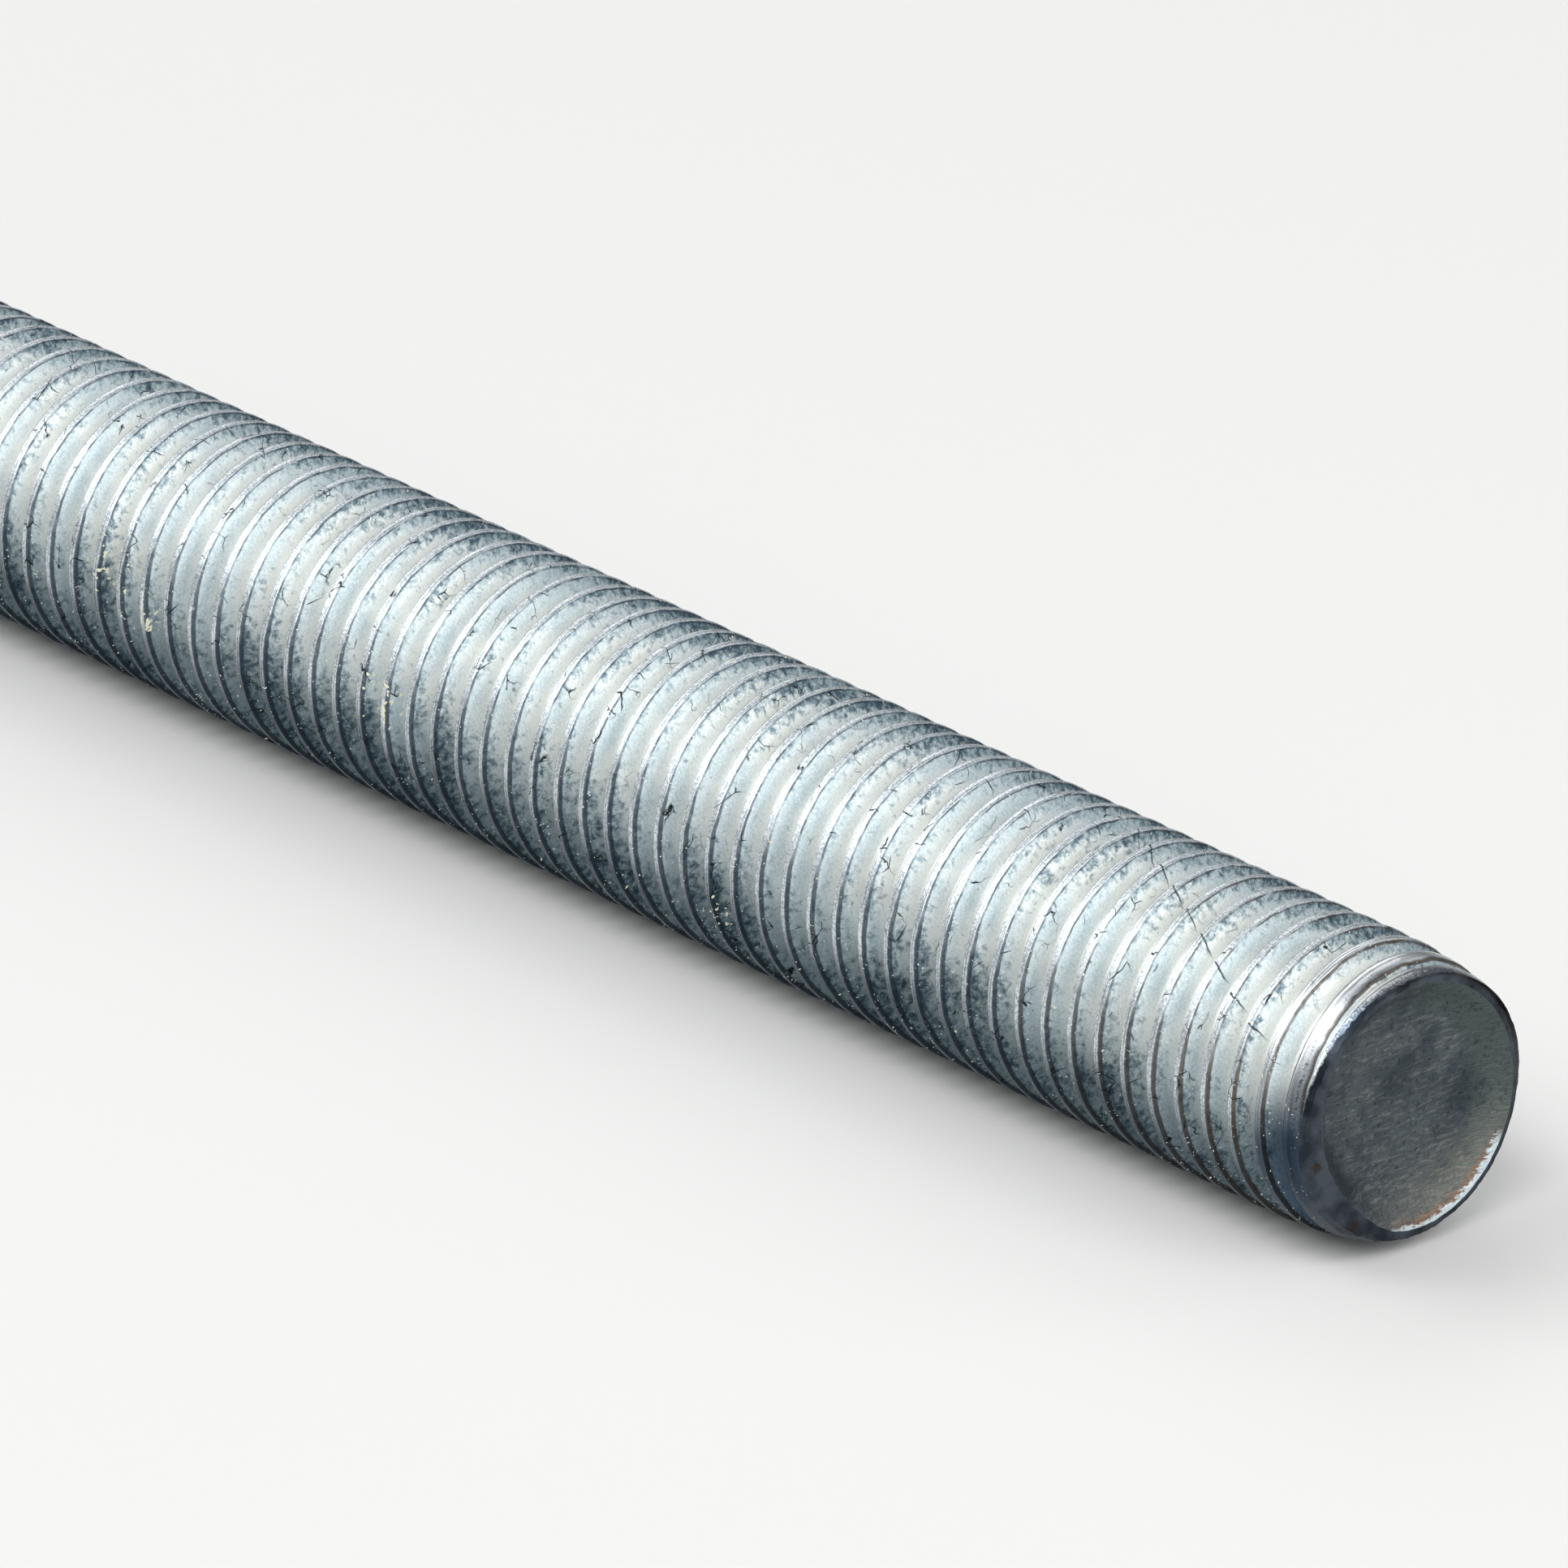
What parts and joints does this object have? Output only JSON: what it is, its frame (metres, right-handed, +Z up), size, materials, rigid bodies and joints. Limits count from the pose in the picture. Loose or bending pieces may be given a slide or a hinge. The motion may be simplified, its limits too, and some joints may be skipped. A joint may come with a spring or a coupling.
{
  "type": "threaded rod",
  "caption": "Straight zinc-plated steel rod with a right-hand metric screw thread along its whole length and rounded, slightly dished ends.",
  "frame": {"origin": "on the ground under the middle of the lying rod", "axes": "+X along the rod toward the end that the picture shows, +Z up"},
  "size_m": [0.15, 0.0158, 0.0158],
  "materials": {
    "zinc_plated_steel": "zinc plated, satin, mottled"
  },
  "bodies": {
    "root": {"rod": "zinc_plated_steel"}
  },
  "joints": []
}
